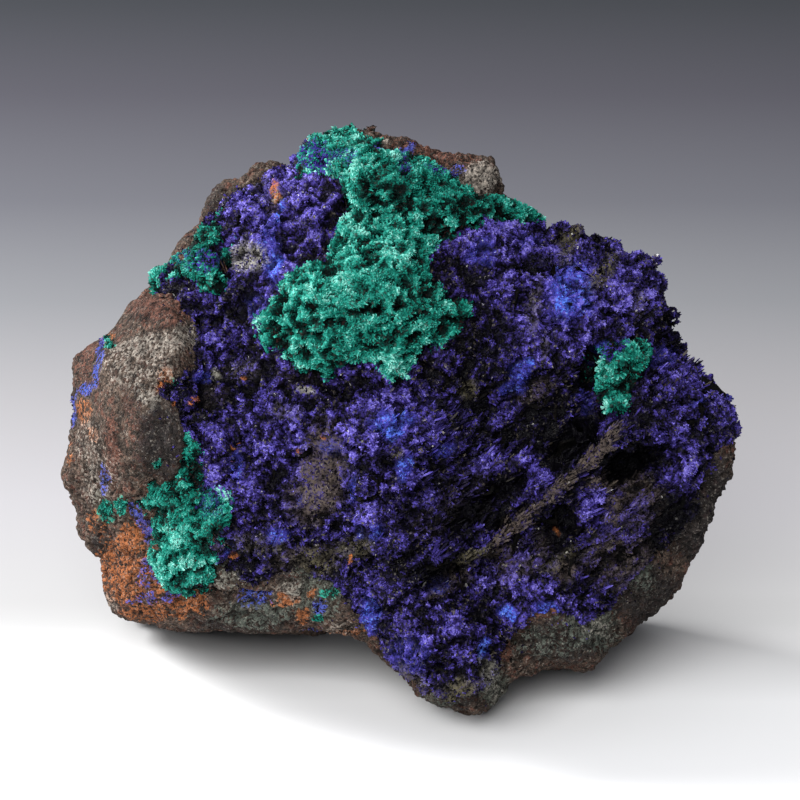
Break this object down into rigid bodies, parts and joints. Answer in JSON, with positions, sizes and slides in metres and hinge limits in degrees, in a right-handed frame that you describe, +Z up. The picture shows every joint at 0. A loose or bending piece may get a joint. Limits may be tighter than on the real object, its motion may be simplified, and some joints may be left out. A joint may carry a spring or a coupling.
{
  "type": "azurite with malachite mineral specimen",
  "caption": "Cabinet mineral specimen: bladed azurite crust with tufted malachite growths on a chunk of broken brown rock that stands by itself.",
  "frame": {"origin": "middle of the specimen's bounding box, at the level of the surface it stands on", "axes": "+X across the broad crystal face to its right, +Y away from the viewer to the rock's back, +Z up"},
  "size_m": [0.134, 0.089, 0.1136],
  "materials": {
    "rock": "rough, porous iron-stained limonite rock, matte",
    "azurite": "deep indigo bladed crystals, glossy faces",
    "malachite": "velvety green fibrous tufts, soft sheen"
  },
  "bodies": {
    "root": {"matrix": "rock", "azurite": "azurite", "malachite_main": "malachite", "malachite_lower": "malachite", "malachite_tuft": "malachite", "malachite_left_sprays": "malachite"}
  },
  "joints": []
}
